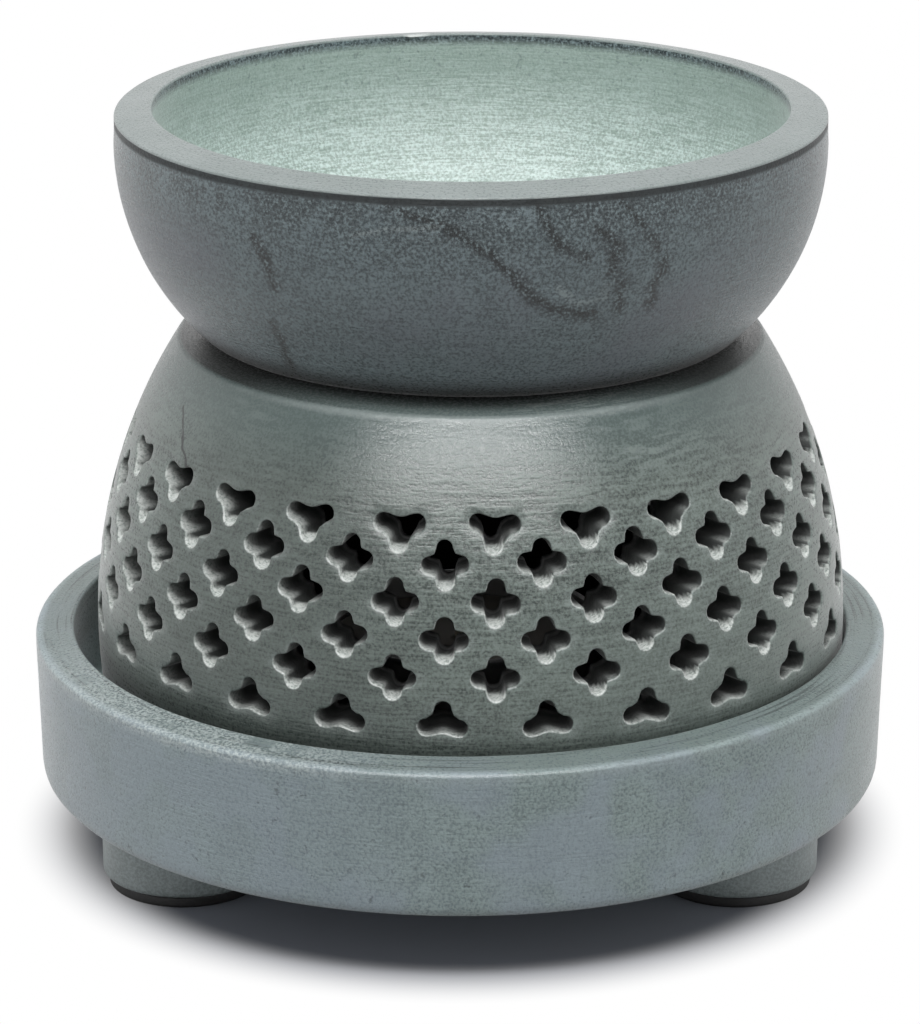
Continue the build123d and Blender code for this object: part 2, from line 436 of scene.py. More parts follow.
def turned_node(node):
    """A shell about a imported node's axis, and the node's radius, lowest level and highest level."""
    low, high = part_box(node)
    axis = ((low[0] + high[0]) / 2, (low[1] + high[1]) / 2)
    return Shell(axis), (high[0] - low[0]) / 2, low[2], high[2]


def eased(corners, bends):
    """A section from corners (radius, level, part, easing), rounded off where a corner has an easing."""
    section = []
    for i, (radius, level, part, *easing) in enumerate(corners):
        if not easing:
            section.append((radius, level, part))
            continue
        corner = Vector((radius, level))
        start = corner + (Vector(corners[i - 1][:2]) - corner).normalized() * easing[0]
        end = corner + (Vector(corners[i + 1][:2]) - corner).normalized() * easing[0]
        for k in range(bends + 1):
            t = k / bends
            bend = start * (1 - t) ** 2 + corner * 2 * t * (1 - t) + end * t**2
            section.append((bend.x, bend.y, part))
    return section


def filled(section, step):
    """The same section with points added, so that none lie further apart than a step."""
    full = [section[0]]
    for first, second in zip(section, section[1:]):
        count = max(1, math.ceil(math.dist(first[:2], second[:2]) / step))
        for k in range(1, count + 1):
            t = k / count
            here = [a + (b - a) * t for a, b in zip(first[:2], second[:2])]
            full.append((*here, second[2] if t > 0.5 else first[2]))
    return full


def arc(centre, radius, start, end, part, steps):
    """Corners along an arc of a section, between two angles in radians."""
    angles = [start + (end - start) * i / steps for i in range(steps + 1)]
    return [(centre[0] + radius * math.cos(a), centre[1] + radius * math.sin(a), part) for a in angles]


def swung(u, v, turn):
    """A flat point turned about the origin."""
    return Vector((u * math.cos(turn) - v * math.sin(turn), u * math.sin(turn) + v * math.cos(turn)))


class TurnBowl(bpy.types.Operator):
    """Turns the oil bowl, dark outside, worn on its rim and pale inside"""

    bl_idname = "burner.turn_bowl"
    bl_label = "Bowl"

    wall: length("Wall", "Thickness of the bowl's wall", 0.00525)
    floor: length("Floor", "Thickness of the bowl's floor", 0.008)
    side: length("Side", "Radius of the bowl's side in section", 0.035)
    belly: length("Belly", "How far the widest level lies below the rim", 0.0049)
    foot: length("Foot", "Rounding of the outside into the base", 0.0035)
    heel: length("Heel", "Rounding of the inside into the floor", 0.009)
    inset: length("Inset", "How far the rim's outer face stands in from the belly", 0.00012)
    spigot: length("Spigot", "Radius of the spigot under the bowl", 0.027)
    spigot_depth: length("Spigot depth", "How far the spigot reaches down", 0.0025)
    chip_reach: length("Chip", "Reach of the small chip in the rim", 0.0013)
    chip_depth: share("Chip depth", "Depth of the chip, as a share of its reach", 0.4)
    chip_bearing: FloatProperty(
        name="Chip bearing", description="Where the chip is", default=math.radians(-169.4),
        unit="ROTATION", subtype="ANGLE",
    )

    def execute(self, context):
        sizes = context.scene.burner_sizes
        shell, radius, low, rim = turned_node("oil_bowl")
        base = low + self.spigot_depth
        floor = base + self.floor
        centre = (radius - self.side, rim - self.belly)
        inner = self.side - self.wall
        foot_middle, lean = self.blend_in(centre, self.side, base, self.foot)
        heel_middle, heel_lean = self.blend_in(centre, inner, floor, self.heel)
        face = radius - self.inset
        well = radius - self.wall
        corners = [
            (0.0, low, "base"),
            (self.spigot, low, "base", 0.0004),
            (self.spigot, base, "base"),
            *arc(foot_middle, self.foot, -math.pi / 2, lean, "outside", 8),
            *arc(centre, self.side, lean, 0.0, "outside", 22),
            (face, rim - 0.0023, "outside"),
            (face, rim - 0.0019, "rim_line"),
            (face, rim - 0.0012, "rim_line"),
            (face, rim - 0.0009, "rim", sizes.edge * 0.4),
            (well, rim, "rim", sizes.edge * 0.5),
            (well, rim - 0.0004, "rim_shade"),
            (well, rim - 0.0009, "rim_shade"),
            (well, rim - 0.0020, "inside"),
            *reversed(arc(centre, inner, heel_lean, 0.0, "inside", 14)),
            *reversed(arc(heel_middle, self.heel, -math.pi / 2, heel_lean, "inside", 8)),
            (0.0, floor, "inside"),
        ]
        shell.turn(corners, step=0.0016, count=ROUND)
        self.chip(shell, well, rim)
        bowl = shell.piece(
            "bowl_turned", "bowl", "soapstone_bowl", self.stone(context, shell.axis, radius, base, rim),
            sizes.waver, still=("base",), seed=3.0,
        )
        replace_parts(bowl, "oil_bowl")
        return {"FINISHED"}

    def blend_in(self, centre, side, level, rounding):
        """Where the rounding between a side and a level face has its middle, and the lean where they meet."""
        rise = centre[1] - level - rounding
        run = math.sqrt((side - rounding) ** 2 - rise**2)
        return (centre[0] + run, level + rounding), math.atan2(-rise, run)

    def stone(self, context, axis, radius, base, rim):
        tones = context.scene.burner_colours
        stone = Stone("soapstone_bowl", axis)
        stone.shown = stone.tone(
            tones.bowl_dark, tones.bowl_pale, cloud=0.4, patch=0.45, grit=0.78, streak=0.25, hatch=0.3
        )
        violet = stone.ramp(stone.cloud, 0.42, 0.62) * (1.0 - stone.ramp(stone.z, rim - 0.014, rim - 0.004))
        stone.lay(violet * 0.55, tones.bowl_violet)
        broken = stone.ramp(stone.z, rim - 0.014, rim - 0.002) * stone.ramp(stone.patch, 0.34, 0.56) * 0.6
        for course in self.courses(rim, DARK_VEINS):
            broken = stone.math("MAXIMUM", broken, stone.vein(course, width=0.0019, reach=radius))
        stone.lay(broken * (1.0 - stone.ramp(stone.grain, 0.50, 0.64)), tones.vein)
        stone.lay(broken * stone.ramp(stone.grain, 0.62, 0.70) * 0.18, tones.worn)
        for course in self.courses(rim, PALE_VEINS):
            stone.lay(stone.vein(course, width=0.0007, reach=radius) * stone.grit * 0.25, tones.worn)
        sage = stone.tone(
            tones.sage_dark, tones.sage_pale, cloud=0.3, patch=0.3, grit=0.6, streak=0.5, hatch=0.5
        )
        high_up = stone.ramp(stone.z, rim - 0.019, rim - 0.002)
        # Painted shade: the inside wall is darker towards the rim, where it stands steep and takes less of
        # the light from above.
        sage = stone.mix(high_up * 0.74, sage, tones.sage_dark)
        sage = stone.mix(stone.pepper * (0.08 + high_up * 0.28), sage, tones.bowl_dark)
        sage = stone.mix(stone.salt * (0.3 - high_up * 0.25), sage, tones.chalk)
        rim_tone = stone.tone(
            tones.rim_dark, tones.rim_pale, cloud=0.3, patch=0.5, grit=0.2, streak=0.15, hatch=0.1
        )
        rim_tone = stone.mix(stone.mark("dust"), rim_tone, tones.chalk)
        inside = stone.mark("inside")
        line = stone.mark("rim_line")
        stone.lay(inside, sage)
        stone.lay(stone.mark("rim"), rim_tone)
        stone.lay(line * (0.7 + stone.grit * 0.3), tones.vein)
        # Painted shadow: the bowl's underside and the lowest few millimetres of its foot are near black, for
        # the shade where it stands on the body.
        stone.lay((1.0 - stone.ramp(stone.z, base + 0.0006, base + 0.0046)) * 0.95, tones.near_black)
        gloss = 0.33 + (stone.grit - 0.5) * 0.16 + (inside * 0.2 + line * 0.5)
        return stone.polished(gloss, stone.grain + stone.hatch * 0.4, strength=0.3)

    def chip(self, shell, radius, rim):
        """Breaks a small chip out of the rim's inner edge at the back."""
        x, y = swung(0.0, -radius, self.chip_bearing)
        middle = Vector((shell.axis[0] + x, shell.axis[1] + y, rim))
        for i, point in enumerate(shell.points):
            near = max(0.0, 1.0 - (Vector(point) - middle).length / self.chip_reach)
            if near and shell.parts[i] == "rim":
                shell.points[i] = (point[0], point[1], point[2] - self.chip_reach * self.chip_depth * near)
                shell.dust[i] = min(1.0, near * 2.0)

    def courses(self, rim, veins):
        """Veins as (bearing, level) points, from their depths below the rim."""
        return [[(bearing, rim - depth) for bearing, depth in vein] for vein in veins]


class PierceBody(bpy.types.Operator):
    """Turns the chamber and cuts six rows of lobed holes through its wall"""

    bl_idname = "burner.pierce_body"
    bl_label = "Pierced body"

    belly: length("Belly", "Height of the widest level above the body's foot", 0.015)
    tuck: length("Tuck", "How far the body draws in at its foot", 0.0015)
    top: length("Top", "Radius of the body's flat top", 0.0397)
    wall: length("Wall", "Thickness of the wall", 0.0062)
    roof: length("Roof", "Thickness of the roof", 0.007)
    seat: length("Seat", "Radius of the level ring that the bowl stands on", 0.0345)
    slope: length("Slope", "How far the ledge round the seat falls to its edge", 0.0015)
    mouth: length("Mouth", "Radius of the mouth in the roof", 0.0274)
    first_row: length("First row", "Lowest row above the widest level, along the wall", 0.0038)
    pitch: length("Row pitch", "Distance between rows along the wall", 0.00502)
    top_pitch: length("Top row pitch", "Distance of the top row from the one below", 0.00435)
    sink: length("Sink", "How far the three-lobed holes sit below the middle of their row", 0.00035)
    narrow: length("Narrow", "How much a hole of the lowest row narrows inwards, on each side", 0.0009)
    draft: length("Draft", "How much any other hole narrows inwards, on each side", 0.0002)
    bow: length("Bow", "How far a three-lobed hole's flat edge bows in", 0.00045)
    stray: length("Stray", "How far a hole may stray from its place", 0.00012)
    margin: length("Margin", "Wall above the middle of the top row that is cut with it", 0.0040)

    def execute(self, context):
        self.sizes = context.scene.burner_sizes
        self.shell, self.radius, self.low, self.high = turned_node("pierced_body")
        self.level = self.low + self.belly
        draw = self.radius - self.top
        self.sweep = ((self.high - self.level) ** 2 + draw**2) / (2 * draw)
        self.middle = self.radius - self.sweep
        self.bore = self.sweep - self.wall
        self.chance = random.Random(HAND_SEED)
        climbs = [self.first_row + self.pitch * i for i in range(5)]
        climbs.append(climbs[-1] + self.top_pitch)
        self.rows = [self.level + self.sweep * math.sin(climb / self.sweep) for climb in climbs]
        self.below = self.rows[0] - self.pitch
        self.above = self.rows[-1] + self.margin
        self.cut_lattice()
        self.turn_rest()
        body = self.shell.piece(
            "body_pierced", "body", "soapstone_body", self.stone(context, self.shell.axis),
            self.sizes.waver, still=("land", "foot", "inner"), seed=9.0,
        )
        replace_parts(body, "pierced_body")
        return {"FINISHED"}

    def wall_radius(self, level, depth):
        """The radius at a level, from the outside of the wall (0) to its inside (1)."""
        rise = level - self.level
        outer = self.middle + math.sqrt(self.sweep**2 - rise**2)
        inner = self.middle + math.sqrt(self.bore**2 - rise**2)
        return outer + (inner - outer) * depth

    def cut_lattice(self):
        step = math.tau / self.sizes.holes
        last = len(self.rows) - 1
        for row, level in enumerate(self.rows):
            lower = self.rows[row - 1] if row else self.below
            upper = self.rows[row + 1] if row < last else self.above
            way = {0: 1, last: -1}.get(row, 0)
            low_lobe, taper = ((), self.narrow) if way > 0 else (LOW_LOBE, self.draft)
            for hole in range(self.sizes.holes):
                bearing = ROW_TURNS[row % 2] + hole * step
                cell = self.cell(bearing, level, lower, upper, step / 2, row == 0, row == last)
                self.cut(bearing, level, cell, self.outline(way), low_lobe, taper)

    def cell(self, bearing, level, lower, upper, half, flat_bottom, flat_top):
        """The border of one hole's share of the wall, from its right corner round by the top."""
        quarter = HOLE_POINTS // 4

        def side(sign, end, flat):
            """From a side corner to the middle of the top or bottom."""
            points = []
            for k in range(quarter):
                t = k / quarter
                if flat and t < 0.5:
                    points.append((bearing + sign * half, level + (end - level) * t * 2))
                elif flat:
                    points.append((bearing + sign * half * (2 - 2 * t), end))
                else:
                    points.append((bearing + sign * half * (1 - t), level + (end - level) * t))
            return points

        top_right, top_left = side(1, upper, flat_top), side(-1, upper, flat_top)
        low_left, low_right = side(-1, lower, flat_bottom), side(1, lower, flat_bottom)
        top, bottom = (bearing, upper), (bearing, lower)
        return [
            *top_right, top, *reversed(top_left[1:]), *low_left, bottom, *reversed(low_right[1:]),
        ]

    def outline(self, way):
        """A hole's outline from its right lobe round by the top.

        It has four lobes (0), or three that point up (1) or down (-1).
        """
        sizes = self.sizes
        half = sizes.lobe_width / 2 * self.chance.uniform(0.95, 1.06)
        wide = sizes.trefoil_width / 2 if way else sizes.hole_width / 2
        tall = sizes.trefoil_height / 2 if way else sizes.hole_height / 2
        drop = half - tall if way else 0.0
        reaches = [(wide, drop), (tall, 0.0), (wide, drop), (tall, 0.0)]
        reaches = [(reach * self.chance.uniform(0.96, 1.04), lift) for reach, lift in reaches]

        def on_lobe(lobe, angle):
            reach, lift = reaches[lobe % 4]
            u = reach - half + half * math.cos(angle)
            return swung(u, half * math.sin(angle), lobe * math.pi / 2) + Vector((0.0, lift))

        points = []
        for lobe in range(4):
            leaving = [on_lobe(lobe, math.pi / 8 * k) for k in range(5)]
            coming = [on_lobe(lobe + 1, -math.pi / 8 * k) for k in range(4, 0, -1)]
            inner = swung(sizes.notch * math.sqrt(2), 0.0, lobe * math.pi / 2 + math.pi / 4)
            if way:
                inner = (leaving[-1] + coming[0]) * 0.43
            points += [*leaving, (leaving[-1] + inner) / 2, inner, (inner + coming[0]) / 2, *coming]
        if way:
            first, final = FLAT_EDGE
            for k in range(first + 1, final):
                t = (k - first) / (final - first)
                points[k] = points[first].lerp(points[final], t)
                points[k].y += self.bow * math.sin(math.pi * t) ** 2
        if way < 0:
            points = [Vector((points[-k].x, -points[-k].y)) for k in range(HOLE_POINTS)]
        tilt = math.radians(self.chance.uniform(-4, 4))
        shift = Vector((self.chance.uniform(-1, 1), self.chance.uniform(-1, 1))) * self.stray
        if way:
            shift.y -= self.sink
        return [swung(*point, tilt) + shift for point in points]

    def cut(self, bearing, level, cell, outline, low_lobe, taper):
        """The wall round one hole: its lip, its sides with painted light and some pale dust on the low lobe,
        and the inside of the wall.
        """
        shell = self.shell
        lip = self.sizes.lip
        count = len(outline)
        away = []
        for k in range(count):
            along = outline[(k + 1) % count] - outline[k - 1]
            away.append(Vector((along.y, -along.x)).normalized())

        def on_wall(places, depth, part):
            return [shell.point(self.wall_radius(z, depth), turn, z, part) for turn, z in places]

        def bored(distance, depth):
            """The outline, spread by a distance, as bearings and levels at a depth in the wall."""
            places = []
            for point, way_out in zip(outline, away):
                moved = point + way_out * distance
                z = level + moved.y
                places.append((bearing + math.asin(moved.x / self.wall_radius(z, depth)), z))
            return places

        def dust(k, depth):
            """Painted light, partly pale dust: a round patch on the floor of the lowest lobe, and thin along
            the sides at the left and bottom, which face up and to the right, towards the light.
            """
            if k in low_lobe:
                return min(1.0, max(0.0, -away[k].y * 0.64 - depth) / 0.14)
            facing = max(0.0, -away[k].x * 0.72 - away[k].y * 0.69)
            return facing * max(0.0, 1.0 - depth / 0.5) * 0.85

        def line(distance, depth, part):
            points = on_wall(bored(distance, depth), depth, part)
            for k, point in enumerate(points):
                shell.dust[point] = dust(k, depth)
            return points

        edge = bored(lip, 0.0)
        between = [((a[0] + b[0]) / 2, (a[1] + b[1]) / 2) for a, b in zip(cell, edge)]
        rings = [
            on_wall(cell, 0.0, "outside"),
            on_wall(between, 0.0, "outside"),
            on_wall(edge, 0.0, "lip"),
            line(lip * 0.3, lip * 0.3 / self.wall, "lip"),
            line(0.0, lip / self.wall, "side"),
            *[line(0.0, depth, "side") for depth in (0.18, 0.32, 0.46, 0.60)],
            line(-taper * 0.5, 0.74, "side"),
            line(-taper, 1.0, "inner"),
            on_wall(cell, 1.0, "inner"),
        ]
        shell.bridge_all(rings)

    def turn_rest(self):
        """The skirt below the lattice, the band above it, the flat top, the mouth and the inside."""
        sizes = self.sizes
        count = sizes.holes * STEPS_PER_HOLE
        skirt = (self.belly**2 + self.tuck**2) / (2 * self.tuck)

        def wall_arc(sweep, begin, end, part, steps):
            lean = [math.asin((level - self.level) / sweep) for level in (begin, end)]
            return arc((self.middle, self.level), sweep, *lean, part, steps)

        def skirt_arc(inset, part):
            lean = [math.asin((level - self.level) / (skirt - inset)) for level in (self.below, self.low)]
            return arc((self.radius - skirt, self.level), skirt - inset, *lean, part, 8)

        roof = self.high - self.roof
        brow = self.high - self.slope
        brow_radius = self.wall_radius(brow, 0.0)
        under = [
            *skirt_arc(0.0, "outside")[:-1],
            (self.radius - self.tuck, self.low, "foot", 0.0009),
            (self.radius - self.tuck - self.wall, self.low, "inner", sizes.edge),
            *reversed(skirt_arc(self.wall, "inner")[:-1]),
        ]
        over = [
            *wall_arc(self.sweep, self.above, brow, "outside", 10)[:-1],
            (brow_radius, brow, "top_edge", 0.0003),
            (brow_radius - 0.0006, brow + 0.0002, "ledge"),
            (self.seat, self.high, "ledge"),
            (self.seat - 0.0010, self.high, "land"),
            (self.mouth, self.high, "land", sizes.edge),
            (self.mouth, roof, "inner", sizes.edge),
            *wall_arc(self.bore, roof, self.above, "inner", 8),
        ]
        for corners in (under, over):
            self.shell.turn(corners, step=0.0025, count=count, start=ROW_TURNS[0])

    def stone(self, context, axis):
        tones = context.scene.burner_colours
        stone = Stone("soapstone_body", axis)
        stone.shown = stone.tone(
            tones.body_dark, tones.body_pale, cloud=0.3, patch=0.3, grit=0.62, streak=0.4, hatch=0.58
        )
        band = stone.ramp(stone.z, self.above - 0.002, self.high)
        stone.lay(stone.near(-0.6, full=0.15, none=0.65) * 0.5, tones.body_dark)
        low_rows = 1.0 - stone.ramp(stone.z, self.rows[1], self.rows[4])
        stone.lay(stone.near(0.75, full=0.3, none=0.9) * low_rows * 0.3, tones.body_pale)
        pits = stone.pepper * stone.ramp(stone.patch, 0.45, 0.65) * (1.0 - band)
        stone.lay(pits * 0.28, tones.vein)
        stone.lay(band * 0.82, tones.body_band)
        front = stone.near(0.0, full=0.4, none=1.0)
        scuff = stone.ramp(stone.hatch, 0.55, 0.7) * stone.ramp(stone.cloud, 0.42, 0.62) * band * front
        stone.lay(scuff * 0.45, tones.worn)
        crack = [(bearing, self.high - depth) for bearing, depth in CRACK]
        stone.lay(stone.least(stone.vein(crack, width=0.0004, reach=self.radius) * 1.8, 1.0), tones.vein)
        # Painted shade: the body is darker towards its foot, for the shade between the body and the tray.
        painted_low_shade = 1.0 - stone.ramp(stone.z, self.below - 0.003, self.rows[0] + 0.001)
        stone.lay(painted_low_shade * 0.4, tones.cut)
        ledge = stone.mark("ledge")
        stone.lay(ledge * 0.12, tones.worn)
        # Painted shade: the ledge is near black at the sides, where the bowl shades it.
        stone.lay(ledge * (1.0 - front) * 0.9, tones.cut)
        # Painted shadow: a near-black ring on the ledge and flat top round the bowl's seat, for the contact
        # shadow under the bowl.
        seat_shadow = 1.0 - stone.ramp(stone.radius, self.seat + 0.0008, self.seat + 0.0044)
        stone.lay((ledge + stone.mark("land")) * seat_shadow * 0.85, tones.near_black)
        # Painted highlight: the body's top edge is paler at the front.
        stone.lay(stone.mark("top_edge") * 0.4 * front, tones.worn)
        stone.lay(stone.mark("lip") * 0.12 * stone.ramp(stone.patch, 0.35, 0.65), tones.worn)
        side = stone.mark("side")
        chamber_inside = stone.mark("inner")
        # Painted shade: the sides of the holes are near black for the shade inside them, and the chamber's
        # inside is painted near black.
        stone.lay(side, tones.cut)
        stone.lay(chamber_inside, tones.near_black)
        # Painted light, partly pale dust: the holes are pale where their sides face the light.
        dust_and_light = stone.mix(stone.ramp(stone.grain, 0.25, 0.6), tones.body_pale, tones.dust)
        stone.lay(stone.mark("dust"), dust_and_light)
        gloss = 0.33 + (stone.grit - 0.5) * 0.12 + (stone.hatch - 0.5) * 0.06
        gloss = gloss + (side + chamber_inside) * 0.4 - band * 0.07
        return stone.polished(gloss, stone.grain + stone.hatch * 0.5, strength=0.15)


class TurnTray(bpy.types.Operator):
    """Turns the tray, with a worn rim and a recess for the tealight"""

    bl_idname = "burner.turn_tray"
    bl_label = "Tray"

    taper: length("Taper", "How much smaller the tray is at the bottom", 0.0005)
    wall: length("Wall", "Thickness of the tray's wall", 0.0054)
    floor: length("Floor", "Thickness of the tray's floor", 0.007)
    recess: length("Recess", "Radius of the tealight's recess", 0.0195)
    recess_depth: length("Recess depth", "Depth of the tealight's recess", 0.002)

    def execute(self, context):
        sizes = context.scene.burner_sizes
        shell, radius, low, high = turned_node("base_tray")
        inner = radius - self.wall
        floor = low + self.floor
        corners = [
            (0.0, low, "under"),
            (radius - self.taper, low, "side", 0.0020),
            (radius, high - 0.0025, "side"),
            (radius, high - 0.0007, "rim_edge", sizes.edge),
            (radius - 0.0014, high - 0.00055, "rim"),
            (inner, high, "rim", sizes.edge),
            (inner, floor, "inside", 0.0012),
            (self.recess, floor, "rest", 0.0004),
            (self.recess, floor - self.recess_depth, "rest"),
            (0.0, floor - self.recess_depth, "rest"),
        ]
        shell.turn(corners, step=0.0018, count=ROUND, bends=7)
        tray = shell.piece(
            "tray_turned", "base", "soapstone_tray", self.stone(context, shell.axis),
            sizes.waver, still=("rest", "under", "inside"), seed=21.0,
        )
        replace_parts(tray, "base_tray")
        return {"FINISHED"}

    def stone(self, context, axis):
        tones = context.scene.burner_colours
        stone = Stone("soapstone_tray", axis)
        stone.shown = stone.tone(
            tones.tray_dark, tones.tray_pale, cloud=0.45, patch=0.6, grit=0.52, streak=0.1, hatch=0.2
        )
        blue = stone.ramp(stone.noise(stone.here, 95.0, 2.0), 0.42, 0.66)
        blue = stone.least(blue + stone.near(-0.85, full=0.4, none=1.0) * 0.7, 1.0)
        stone.lay(blue * 0.55, tones.tray_blue)
        stone.lay(stone.pepper * stone.ramp(stone.patch, 0.45, 0.6) * 0.5, tones.vein)
        rim = stone.mark("rim")
        rim_edge = stone.mark("rim_edge")
        stone.lay(rim * 0.7, tones.tray_rim)
        scored = 1.0 - stone.ramp(stone.noise(stone.drawn(2.5, 2600.0), 1.0, 2.0, 0.5), 0.34, 0.44)
        stone.lay(rim * scored * 0.55, tones.vein)
        # Painted light: the tray's inside wall is paler, for light on it in the gap under the body.
        stone.lay(stone.mark("inside") * 0.4, tones.tray_pale)
        rubbed = stone.ramp(stone.grain, 0.46, 0.58) * stone.ramp(stone.patch, 0.32, 0.48)
        chalk = rim_edge * 0.14 + (rim + rim_edge) * stone.near(-0.75, full=0.2, none=0.8) * rubbed * 0.65
        stone.lay(chalk, tones.worn)
        gloss = 0.34 + (stone.grit - 0.5) * 0.16
        return stone.polished(gloss, stone.grain + stone.hatch * 0.3, strength=0.3)


class StandFeet(bpy.types.Operator):
    """Sets the stone feet and the rubber pads under the tray"""

    bl_idname = "burner.stand_feet"
    bl_label = "Feet and pads"

    foot_edge: length("Foot edge", "Rounding of a foot's lower edge", 0.0011)
    foot_waver: length("Foot waver", "How far a foot strays from a true turning", 0.0001)
    pad_edge: length("Pad edge", "Rounding of a pad's lower edge", 0.0005)
    pad_top: length("Pad top", "Rounding of a pad's upper edge", 0.0003)

    def execute(self, context):
        tones = context.scene.burner_colours
        stone = Stone("soapstone_feet", (0.0, 0.0))
        shown = stone.tone(
            tones.foot_dark, tones.foot_pale, cloud=0.3, patch=0.4, grit=0.7, streak=0.1, hatch=0.2
        )
        gloss = 0.42 + (stone.grit - 0.5) * 0.2
        honed = stone.surface(shown, gloss, stone.grain, strength=0.25)
        rubber = self.rubber(tones)
        foot_edges = ("edge", self.foot_edge), ("rest",)
        pad_edges = ("edge", self.pad_edge), ("edge", self.pad_top)
        for foot in FEET:
            self.disc(f"foot_{foot}", "stone", "soapstone_feet", honed, foot_edges, self.foot_waver)
            self.disc(f"foot_pad_{foot}", "rubber", "black_pad", rubber, pad_edges)
        return {"FINISHED"}

    def disc(self, node, stuff, slot, material, edges, waver=0.0):
        """One disc, with its lower and upper edge as the part there and its easing."""
        shell, radius, low, high = turned_node(node)
        corners = [
            (0.0, low, "rest"),
            (radius, low, *edges[0]),
            (radius, high, *edges[1]),
            (0.0, high, "rest"),
        ]
        shell.turn(corners, step=0.0014, count=SMALL_ROUND)
        piece = shell.piece(f"{node}_{stuff}", "base", slot, material, waver, ("rest",))
        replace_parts(piece, node)

    def rubber(self, tones):
        finish = new_finish("black_pad")
        place = finish.place()
        grain = finish.noise(place, 2600.0, 2.0)
        dust = finish.ramp(finish.noise(place, 320.0, 4.0, 0.7), 0.55, 0.75)
        shown = finish.mix(dust * 0.15, tones.pad, tones.pad_dust)
        gloss = 0.62 + (grain - 0.5) * 0.25
        return finish.surface(shown, gloss, grain, strength=0.2)


class SetTealight(bpy.types.Operator):
    """Sets the tealight: a pressed cup, its wax, a twisted wick and the tin that holds the wick"""

    bl_idname = "burner.set_tealight"
    bl_label = "Tealight"

    sheet: length("Sheet", "Thickness of the cup's metal", 0.0004)
    roll: length("Roll", "How far the cup's lip stands out", 0.0005)
    wick_hole: length("Wick hole", "Radius of the hole that the wax leaves for the wick", 0.0009)
    neck: length("Neck", "Radius of the hollow round the tin's neck", 0.0015)
    neck_height: length("Neck height", "Height of the hollow round the tin's neck", 0.0035)
    tin_width: length("Tin", "Radius of the hollow round the tin's disc", 0.0061)
    tin_height: length("Tin height", "Height of the hollow round the tin's disc", 0.0005)
    strands: IntProperty(name="Strands", description="Strands of the twisted wick", default=3, min=2)
    twists: IntProperty(name="Twists", description="Turns of each strand of the wick", default=3, min=1)

    def execute(self, context):
        tones = context.scene.burner_colours
        self.cup(tones)
        self.wax(tones)
        self.wick(tones)
        self.tin(tones)
        return {"FINISHED"}

    def cup(self, tones):
        shell, lip, low, high = turned_node("tealight_cup")
        radius = lip - self.roll
        inner = radius - self.sheet
        floor = low + self.sheet
        corners = [
            (0.0, low, "under"),
            (radius - 0.0030, low, "under"),
            (radius - 0.0024, low + 0.0003, "under", 0.0003),
            (radius - 0.0016, low, "under", 0.0003),
            (radius, low, "side", 0.0008),
            (radius, high - 0.0012, "side", 0.0002),
            (lip, high - 0.0008, "lip", 0.0003),
            (lip, high, "lip", 0.0003),
            (inner, high, "lip", 0.0002),
            (inner, floor, "inside", 0.0003),
            (0.0, floor, "inside"),
        ]
        shell.turn(corners, step=0.0012, count=144)
        finish = new_finish("cup_metal")
        place = finish.place()
        x, y, z = finish.axes(place)
        drawn = finish.noise(finish.vector(x * 2400.0, y * 2400.0, z * 60.0), 1.0, 2.0)
        smear = finish.noise(place, 180.0, 3.0)
        gloss = 0.36 + (smear - 0.5) * 0.2 + (drawn - 0.5) * 0.08
        shown = finish.mix(finish.ramp(smear, 0.3, 0.8), tones.cup, scaled(tones.cup, 0.82))
        metal = finish.surface(shown, gloss, drawn, strength=0.08, constants=METAL)
        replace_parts(shell.piece("tealight_cup_pressed", "tealight", "cup_metal", metal), "tealight_cup")

    def wax(self, tones):
        shell, radius, low, high = turned_node("tealight_wax")
        over_neck = low + self.neck_height
        over_tin = low + self.tin_height
        corners = [
            (self.tin_width, low, "under"),
            (radius, low, "under", 0.0002),
            (radius, high, "top", 0.0005),
            (radius - 0.0016, high - 0.0006, "top", 0.0006),
            (0.0040, high - 0.0005, "top", 0.0006),
            (self.wick_hole + 0.0004, high - 0.0001, "top", 0.0003),
            (self.wick_hole, high - 0.0006, "under"),
            (self.wick_hole, over_neck, "under"),
            (self.neck, over_neck, "under"),
            (self.neck, over_tin, "under"),
            (self.tin_width, over_tin, "under"),
            (self.tin_width, low, "under"),
        ]
        shell.turn(corners, step=0.0014, count=SMALL_ROUND)
        finish = new_finish("candle_wax")
        bloom = finish.noise(finish.place(), 240.0, 3.0)
        # The wax is painted darker than fresh wax, as shade inside the chamber.
        shown = finish.mix(finish.ramp(bloom, 0.35, 0.75), tones.wax, scaled(tones.wax, 1.1))
        gloss = 0.42 + (bloom - 0.5) * 0.2
        material = finish.surface(shown, gloss, bloom, strength=0.1)
        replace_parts(shell.piece("tealight_wax_poured", "tealight", "candle_wax", material), "tealight_wax")

    def wick(self, tones):
        """Cotton strands twisted round each other, with frayed ends."""
        shell, radius, low, high = turned_node("tealight_wick")
        thick = radius * 0.52
        orbit = radius - thick
        levels = 48
        sides = 10
        fray = 0.94  # where the strands begin to thin, as a share of the height
        for k in range(self.strands):
            rings = []
            for i in range(levels + 1):
                t = i / levels
                middle = swung(0.0, -orbit, math.tau * (k / self.strands + t * self.twists))
                strand = thick * (1.0 - max(0.0, t - fray) * 6.0)
                ring = [middle + swung(0.0, -strand, math.tau * j / sides) for j in range(sides)]
                level = low + (high - low) * t
                rings.append([shell.point(p.length, math.atan2(p.x, -p.y), level, "strand") for p in ring])
            shell.bridge_all(rings)
            shell.faces += [list(reversed(rings[0])), rings[-1]]
        finish = new_finish("wick_cotton")
        fibre = finish.noise(finish.place(), 4200.0, 2.0)
        shown = finish.mix(fibre, scaled(tones.wick, 0.7), tones.wick)
        gloss = 0.6 + (fibre - 0.5) * 0.3
        material = finish.surface(shown, gloss, fibre, strength=0.4)
        wick = shell.piece("tealight_wick_twisted", "tealight", "wick_cotton", material)
        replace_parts(wick, "tealight_wick")

